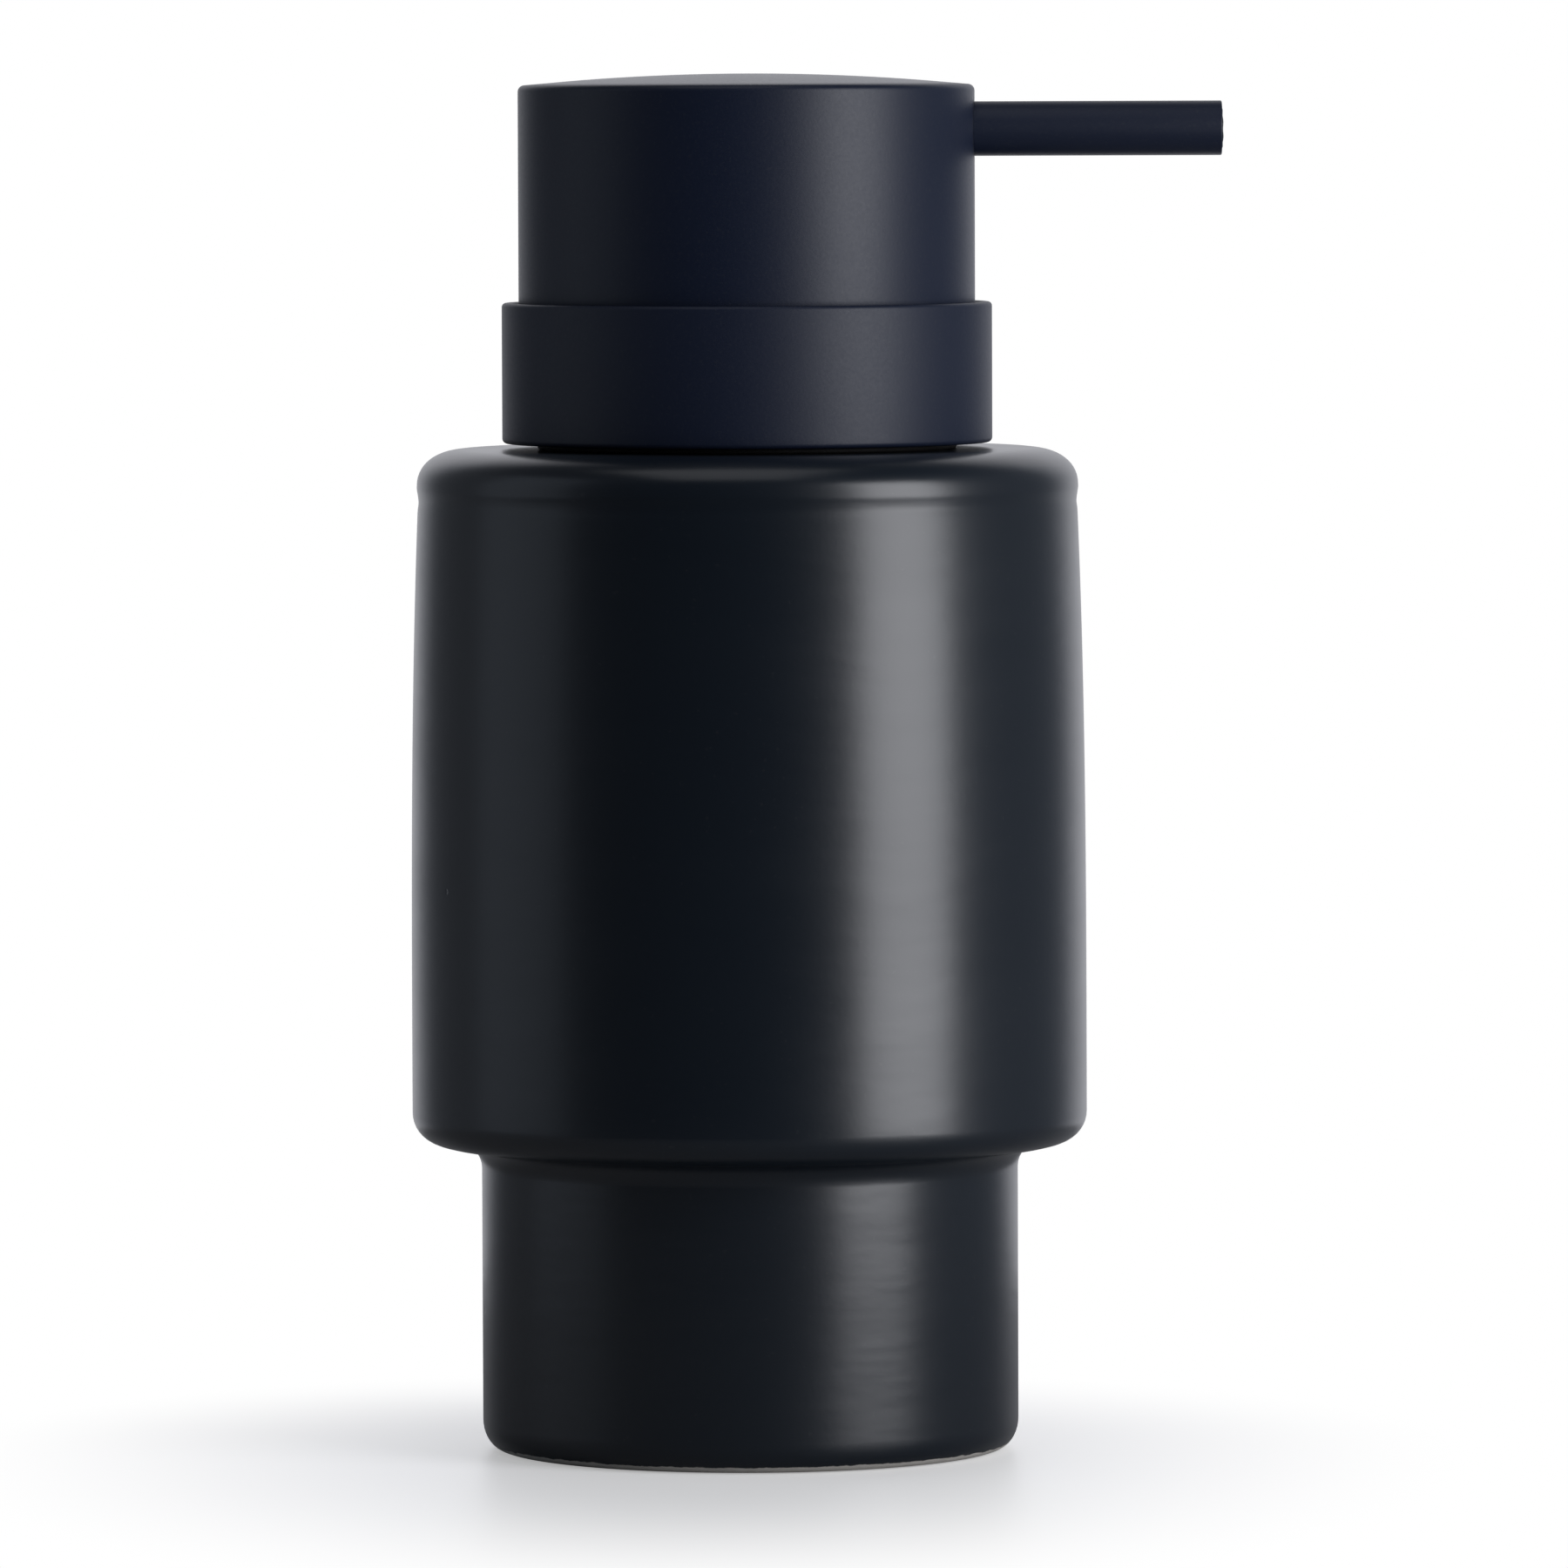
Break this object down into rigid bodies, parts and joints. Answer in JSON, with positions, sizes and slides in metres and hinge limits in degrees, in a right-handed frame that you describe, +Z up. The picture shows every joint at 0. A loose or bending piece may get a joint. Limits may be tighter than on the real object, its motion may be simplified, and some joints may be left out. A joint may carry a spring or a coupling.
{
  "type": "soap pump dispenser",
  "caption": "Free-standing stoneware soap bottle with a stepped foot and a metal-capped lotion pump whose straight spout is pressed down with the cap.",
  "frame": {"origin": "centre of the bottle's flat base, on the surface that it stands on", "axes": "+Z up along the bottle's axis, +X along the spout at rest"},
  "size_m": [0.0964, 0.08, 0.1629],
  "materials": {
    "stoneware": "matt black glaze, slightly satin, with an unglazed edge at the foot",
    "coated_metal": "fine matt blue-black powder coat",
    "white_plastic": "moulded polypropylene",
    "dark_plastic": "moulded black polypropylene",
    "clear_plastic": "milky natural polyethylene",
    "silicone": "translucent grey silicone",
    "black_rubber": "matt black nitrile",
    "steel": "bright stainless"
  },
  "bodies": {
    "bottle": {"ceramic_bottle": "stoneware", "neck_insert": "white_plastic", "neck_gasket": "black_rubber"},
    "pump": {"pump_housing": "white_plastic", "housing_gasket": "silicone", "guide_bush": "dark_plastic", "stem_wiper": "black_rubber", "valve_cage": "clear_plastic", "dip_tube": "clear_plastic", "return_spring": "steel"},
    "ball": {"inlet_ball": "steel"},
    "stem": {"pump_stem": "white_plastic", "stem_plug": "dark_plastic", "piston_seal": "clear_plastic"},
    "closure": {"collar_ring": "coated_metal", "closure_nut": "dark_plastic"},
    "head": {"cap_shell": "coated_metal", "actuator_core": "white_plastic", "spout_tube": "coated_metal", "spout_liner": "dark_plastic", "spout_seal": "black_rubber"}
  },
  "joints": [
    {"name": "pump_lift", "type": "slide", "parent": "bottle", "child": "pump", "axis": [0, 0, 1], "range_m": [0, 0.125]},
    {"name": "closure_turn", "type": "hinge", "parent": "pump", "child": "closure", "pos_m": [0, 0, 0.1193], "axis": [0, 0, 1], "continuous": true},
    {"name": "pump_stroke", "type": "slide", "parent": "pump", "child": "stem", "axis": [0, 0, -1], "range_m": [0, 0.012], "stiffness_N_per_m": 1000, "springref_m": -0.006, "deforming": ["return_spring"]},
    {"name": "head_swivel", "type": "hinge", "parent": "stem", "child": "head", "pos_m": [0, 0, 0.1563], "axis": [0, 0, 1], "continuous": true},
    {"name": "ball_lift", "type": "slide", "parent": "pump", "child": "ball", "axis": [0, 0, 1], "range_m": [0, 0.0015]}
  ]
}
